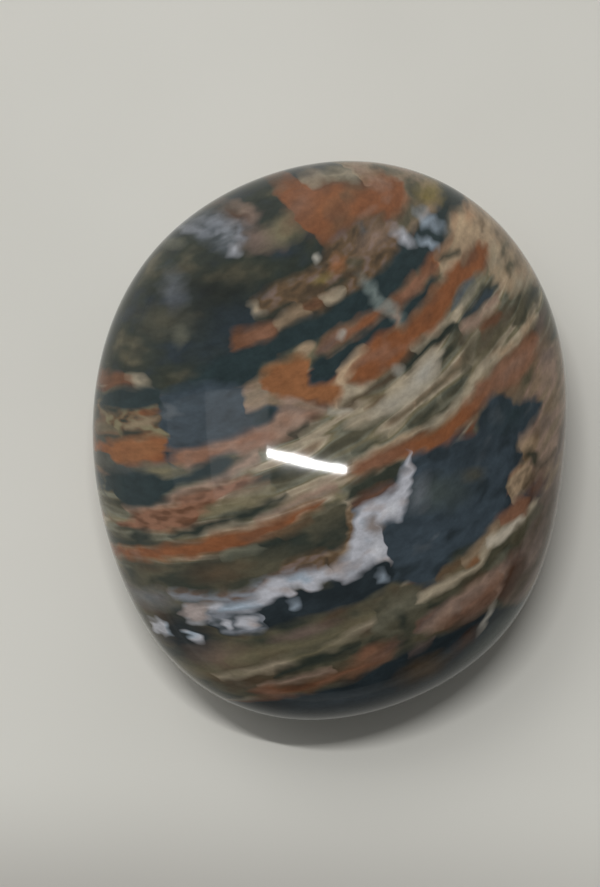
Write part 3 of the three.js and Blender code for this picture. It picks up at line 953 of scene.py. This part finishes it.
# The seam of druzy quartz that steps up across the beds.
ground = streak(
    ground, tints(mottle, (0.4, UMBER), (0.6, DUN)),
    [(-11.5, -2.4, 0.5), (-10, -2.4, 0.5), (-9, -1.7, 0.6), (-8.2, -0.3, 0.8), (-7.4, 1.1, 0.8),
     (-6.8, 1.9, 0.4)],
    soft=0.4, fray=0.4,
)
ground = lay(
    ground, tints(cloud, (0.45, INK), (0.62, SLATE_DEEP)),
    [(-25, -6), (-23, -4.4), (-20, -4), (-17, -4), (-15.5, -4.4), (-13, -5), (-11.5, -4.6), (-10, -4.5),
     (-8, -4.4), (-6.8, -4.8), (-5.6, -6)],
    [(-25, -6), (-23, -8.6), (-20, -8.4), (-16, -8), (-12, -8.2), (-9, -8.1), (-7, -7.6), (-5.6, -6)],
    soft=0.4, fray=0.4,
)
ground = lay(
    ground, druzy,
    [(-12.4, -4), (-11.5, -3.3), (-10, -3), (-9.3, -2.4), (-8.6, -1.4), (-8, -0.6), (-7.4, 0.4),
     (-6.6, 1.1), (-5.8, 1.5), (-4.6, 1.4), (-3.4, 1.1), (-2.6, 1.4), (-1.8, 2), (-0.9, 2.6),
     (-0.2, 2.8), (0.3, 3.5), (0.9, 3.9), (1.3, 3.5)],
    [(-12.4, -4), (-11.5, -5), (-10.5, -5.3), (-9.5, -5), (-8.5, -4.7), (-7.5, -4.5), (-6.6, -4.9),
     (-6.2, -5.4), (-5.8, -4.4), (-5.6, -2.6), (-5.2, -1.4), (-4, -1.4), (-3, -1.8), (-2.3, -1.2),
     (-1.5, -0.1), (-0.8, 0.9), (-0.2, 1.9), (0.4, 2.6), (0.8, 3.2), (1.3, 3.5)], fray=0.5,
)
ground = spot(ground, UMBER, (-5.9, -1.1), (0.8, 0.9), fray=0.5, cover=0.7)
ground = spot(ground, FROST, (-3.5, -0.4), (0.9, 0.5), turn=20, cover=0.8, soft=0.8, fray=0.5)
ground = spot(ground, FROST, (-6.6, -3.6), (0.5, 0.9), turn=-15, cover=0.7, soft=0.8, fray=0.5)
ground = spot(ground, MIST, (-10.2, -4.3), (1.3, 0.5), turn=10, cover=0.6, soft=0.8, fray=0.5)
ground = spot(ground, INK, (-26.4, -8.3), (1.9, 3.2), soft=0.4, cover=0.95)
ground = streak(
    ground, tints(mottle, (0.4, MAUVE), (0.62, MIST)),
    [(-26, -2.6, 0.4), (-23, -3.3, 0.6), (-20.5, -3.7, 0.8), (-17, -2.9, 0.6), (-13, -3.2, 0.5)],
    soft=0.5, fray=0.6, cover=0.85,
)
ground = lay(
    ground, tints(mottle, (0.36, SLATE_PALE), (0.60, MIST)),
    [(-24.5, -5.5), (-23, -4.6), (-21, -4.9), (-19.6, -5.6)],
    [(-24.5, -5.5), (-23.4, -8.2), (-21, -8.6), (-19.8, -7.8), (-19.6, -5.6)],
    soft=0.4, fray=0.6, cover=0.8,
)
ground = streak(
    ground, druzy,
    [(-24.8, -4.4, 0.3), (-23, -4.5, 0.5), (-21.4, -4.9, 0.55), (-19.8, -4.8, 0.7), (-18.6, -4.2, 0.85),
     (-17.3, -3.6, 0.8), (-16, -3.5, 0.6), (-14, -3.7, 0.6), (-12, -3.8, 0.6)], soft=0.4, fray=0.8,
)
for at, size, turn in (
    ((-24.9, -5.2), (0.95, 1.3), 10),
    ((-26, -8.1), (0.5, 0.85), 10),
    ((-27.9, -7), (0.5, 1.1), 0),
    ((-21.2, -7.1), (0.8, 0.8), 0),
    ((-22.8, -6.9), (0.4, 0.6), 0),
    ((-14.4, -4.4), (0.8, 0.8), -15),
    ((-16.6, -4.4), (0.5, 0.6), 0),
):
    ground = spot(ground, druzy, at, size, turn, soft=0.35, fray=0.8)
ground = spot(ground, ICE, (-16.8, -6), (0.45, 0.55), soft=0.7, cover=0.7)
ground = spot(ground, ICE, (-7.4, -6.5), (0.4, 0.7), turn=10, soft=0.8, cover=0.6)
ground = spot(ground, MIST, (-27.6, -3.4), (1.2, 1.0), soft=0.9, fray=0.6, cover=0.5)
ground = spot(ground, SALMON, (-24.8, -10.7), (1.6, 1.1), soft=0.9, fray=0.6, cover=0.45)
ground = spot(ground, OLIVE, (-26.8, -12.6), (1.8, 0.9), soft=0.9, fray=0.6, cover=0.6)

# The beds under the seam: cream and dark green streaks, and rust turning to maroon.
ground = spot(ground, MAUVE, (-17, -9.5), (2.6, 0.7), turn=5, fray=0.8, cover=0.8)
ground = streak(
    ground, OLIVE,
    [(-24, -11.4, 0.4), (-20, -11, 0.5), (-15, -10.6, 0.4), (-10, -10, 0.3)],
    soft=0.6, fray=0.8, cover=0.7,
)
ground = streak(
    ground, tints(cloud, (0.4, OLIVE), (0.6, CREAM)),
    [(-25.5, -13.4, 0.2), (-24, -13.2, 0.3), (-22, -12.8, 0.35), (-20, -12.5, 0.35), (-18, -12.2, 0.3),
     (-17, -12.1, 0.14), (-15, -12, 0.35), (-13, -11.4, 0.35), (-11.5, -11.1, 0.3), (-10, -10.9, 0.2)],
    fray=0.2,
)
ground = streak(
    ground, MOSS_BLACK,
    [(-21, -13.9, 0.4), (-19, -13.4, 0.6), (-17, -13.1, 0.5), (-14, -13, 0.4), (-12.5, -12.7, 0.3)],
    fray=0.3,
)
ground = streak(
    ground, SALMON,
    [(-22.5, -15.1, 0.2), (-20, -15, 0.4), (-18, -14.9, 0.4), (-15.5, -14.8, 0.3)],
    soft=0.4, cover=0.8,
)
ground = spot(ground, RUST_PINK, (-12, -14.3), (1.6, 0.8), turn=15, fray=0.5, cover=0.9)
ground = lay(
    ground, tints(cloud, (0.34, MAROON), (0.5, RUST_BROWN), (0.66, RUST_PINK)),
    [(-24, -15.6), (-22, -15.2), (-20, -15.5), (-18, -15.5), (-15, -15.2), (-12, -15.1), (-10.5, -13.9),
     (-9, -13.8), (-8.3, -14.5)],
    [(-24, -15.6), (-22, -16.9), (-20, -17), (-18, -16.8), (-15, -16), (-12, -16.2), (-10, -15.6),
     (-8.3, -14.5)],
    soft=0.4, fray=0.4,
)
ground = lay(
    ground, tints(cloud, (0.36, KHAKI), (0.66, SAGE)),
    [(-11, -12), (-9.5, -10.4), (-6, -9.6), (-4.4, -10.2), (-3.6, -11.6)],
    [(-11, -12), (-10, -13.2), (-7, -14), (-5, -13), (-3.6, -11.6)], soft=0.8, cover=0.8,
)
ground = spot(ground, MOSS_BLACK, (-7.4, -12.4), (0.7, 1.1), cover=0.8)
ground = lay(
    ground, tints(cloud, (0.3, RUST_BROWN), (0.44, MAUVE), (0.6, SALMON)),
    [(-7, -13.8), (-6, -13), (-4, -12.8), (0, -12.7), (3, -12.8), (6, -12.9), (9, -13.4)],
    [(-7, -13.8), (-6, -14.6), (-4, -14.8), (-2, -15.6), (0, -16.3), (2, -16.3), (4, -15.8), (6, -15),
     (9, -13.4)],
    soft=0.4, fray=0.4,
)
ground = spot(ground, RUST_BROWN, (-2.3, -14.9), (1.5, 0.5), turn=-10, cover=0.6)
ground = spot(ground, SALMON, (1, -13.8), (3, 0.7), cover=0.45, soft=0.8, fray=0.5)
ground = streak(
    ground, MAROON,
    [(-3, -15.3, 0.3), (0, -15.7, 0.5), (2.6, -15.3, 0.5)],
    soft=0.8, fray=0.4, cover=0.7,
)
ground = streak(
    ground, RUST_PINK,
    [(-1, -14.7, 0.3), (1.6, -14.8, 0.5), (4, -14.2, 0.4)],
    soft=0.8, cover=0.7,
)
ground = spot(ground, MAUVE, (-10, -14.8), (1.6, 0.6), turn=15, cover=0.5, soft=0.8)
ground = streak(
    ground, UMBER,
    [(-2, -9.9, 0.3), (-0.8, -9.7, 0.5), (1, -9.6, 0.4)],
    soft=0.4, fray=0.4, cover=0.9,
)
ground = streak(
    ground, DUN,
    [(1, -9.8, 0.5), (3, -9.7, 0.6), (5, -9.4, 0.5), (6.3, -9, 0.3)],
    soft=0.4, fray=0.4,
)
ground = spot(ground, OCHRE, (2, -10.4), (0.9, 0.4), cover=0.7)
ground = lay(
    ground, CREAM,
    [(-6, -11), (-4, -10.3), (-2, -10.3), (0, -10.5), (2, -10.9), (3, -10.2), (4, -9.6), (5, -9.3), (6, -9.5),
     (7, -10.1), (8, -10.4), (9.5, -10.6), (11, -10.2), (12.5, -10.8)],
    [(-6, -11), (-4, -11.4), (-2, -11.4), (0, -11.3), (2, -11.5), (3.5, -11), (5, -10.6), (6, -10.6),
     (7, -10.9), (9, -11.2), (11, -11.1), (12.5, -10.8)], soft=0.35, fray=0.3,
)
ground = lay(
    ground, RUST_PINK,
    [(6.2, -9.2), (7, -8.6), (9, -8.6), (10.2, -8.9), (11, -9.5)],
    [(6.2, -9.2), (7.5, -9.9), (9, -10.4), (10.2, -10.3), (11, -9.5)], soft=0.4, fray=0.3,
)
ground = streak(
    ground, IVORY,
    [(4, -10, 0.4), (6, -10.3, 0.65), (7.6, -10.6, 0.5), (9.2, -10.9, 0.3)],
    soft=0.4, cover=0.9,
)
ground = spot(ground, RUST_BROWN, (12.4, -9.5), (1.7, 0.8), fray=0.5, cover=0.8)
ground = lay(
    ground, OLIVE_DEEP,
    [(-4.6, -12.1), (-3.5, -11.6), (-1, -11.5), (1, -11.7), (2.7, -12)],
    [(-4.6, -12.1), (-3.8, -12.5), (-2, -12.6), (0, -12.6), (2.7, -12)], fray=0.4, cover=0.3,
)
ground = streak(
    ground, KHAKI,
    [(3.5, -11.8, 0.25), (6, -11.6, 0.35), (8.5, -11.5, 0.4), (12, -11.7, 0.3)],
    soft=0.4, fray=0.4, cover=0.8,
)
ground = spot(ground, SAGE, (4.8, -12.5), (1.4, 0.4), cover=0.6)
ground = lay(
    ground, MAROON,
    [(2.8, -16.4), (3.5, -15.9), (4.5, -14.5), (6, -13.9), (7.5, -14.1), (9, -14.8)],
    [(2.8, -16.4), (4, -17), (5, -16.6), (6.5, -15.6), (9, -14.8)], soft=0.6, fray=0.5,
)
ground = spot(ground, BARK, (-7, -19), (2.4, 1.3), cover=0.9, soft=0.6, fray=0.6)
ground = spot(ground, SLATE_GREEN, (2.6, -20.4), (5, 1.3), turn=8, cover=0.8, soft=0.7, fray=0.6)
ground = spot(ground, SLATE, (-15, -19.4), (4, 1.1), turn=-8, cover=0.7, soft=0.8, fray=0.6)
ground = spot(ground, MAROON, (-1.6, -18.4), (1.6, 0.7), turn=10, cover=0.7, soft=0.7, fray=0.6)
ground = streak(
    ground, MAUVE,
    [(-7.8, -16.4, 0.2), (-6.2, -16, 0.35), (-4.8, -15.9, 0.2)],
    soft=0.5, cover=0.6,
)
ground = spot(ground, MILK, (1.3, -17.5), (1.5, 0.4), turn=39, fray=0.5, cover=0.8)

# All of it is a little uneven in brightness. The polish is glassy, with a faint ripple.
MOTTLE_SHARE, GRIT_SHARE, LEAST_SHADE = 0.7, 0.4, 0.45
SMEAR_SCALE = 300
LEAST_ROUGHNESS, SMEAR_ROUGHNESS = 0.015, 0.07
RIPPLE_SCALE = 180
RIPPLE_STRENGTH, RIPPLE_HEIGHT = 0.1, 0.2 * MM
QUARTZ_IOR = 1.54
GLOSS = 0.28

shade = mottle.math("MULTIPLY_ADD", MOTTLE_SHARE, grit.math("MULTIPLY_ADD", GRIT_SHARE, LEAST_SHADE))
finished = wire.node("ShaderNodeVectorMath", {"operation": "SCALE"}, ground, Scale=shade)
wire.plug(shader.inputs["Base Color"], finished)
polish = wire.node("ShaderNodeTexNoise", {}, place, Scale=SMEAR_SCALE, Detail=2)
wire.plug(shader.inputs["Roughness"], polish.math("MULTIPLY_ADD", SMEAR_ROUGHNESS, LEAST_ROUGHNESS))
ripple = wire.node("ShaderNodeTexNoise", {}, place, Scale=RIPPLE_SCALE, Detail=1)
bump = wire.node("ShaderNodeBump", {}, RIPPLE_STRENGTH, RIPPLE_HEIGHT, Height=ripple)
wire.plug(shader.inputs["Normal"], bump)
shader.inputs["IOR"].default_value = QUARTZ_IOR
shader.inputs["Specular IOR Level"].default_value = GLOSS

stone.data.materials.clear()
stone.data.materials.append(jasper)
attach(stone, "root")
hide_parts("palm_stone")
